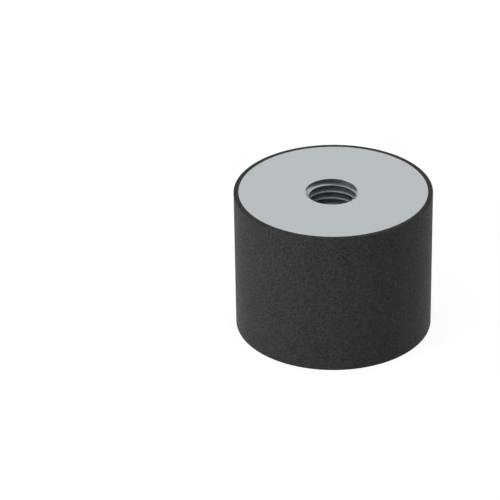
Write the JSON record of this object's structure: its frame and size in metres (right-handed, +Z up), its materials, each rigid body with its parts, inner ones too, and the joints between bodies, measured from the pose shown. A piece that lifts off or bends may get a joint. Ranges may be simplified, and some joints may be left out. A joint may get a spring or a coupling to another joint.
{
  "type": "bobbin vibration mount",
  "caption": "Cylindrical rubber vibration mount with a threaded steel plate bonded flush into its upper end and a plain rubber face to rest on at the other.",
  "frame": {"origin": "centre of the plain rubber face that the mount stands on", "axes": "+Z up along the cylinder's axis, out of the threaded hole; X and Y in the rubber face"},
  "size_m": [0.04, 0.04, 0.03],
  "materials": {
    "rubber": "matt moulded black rubber with a fine mottled grain",
    "plated_steel": "matt zinc plate on turned steel"
  },
  "bodies": {
    "root": {"rubber_body": "rubber", "threaded_end_plate": "plated_steel"}
  },
  "joints": []
}
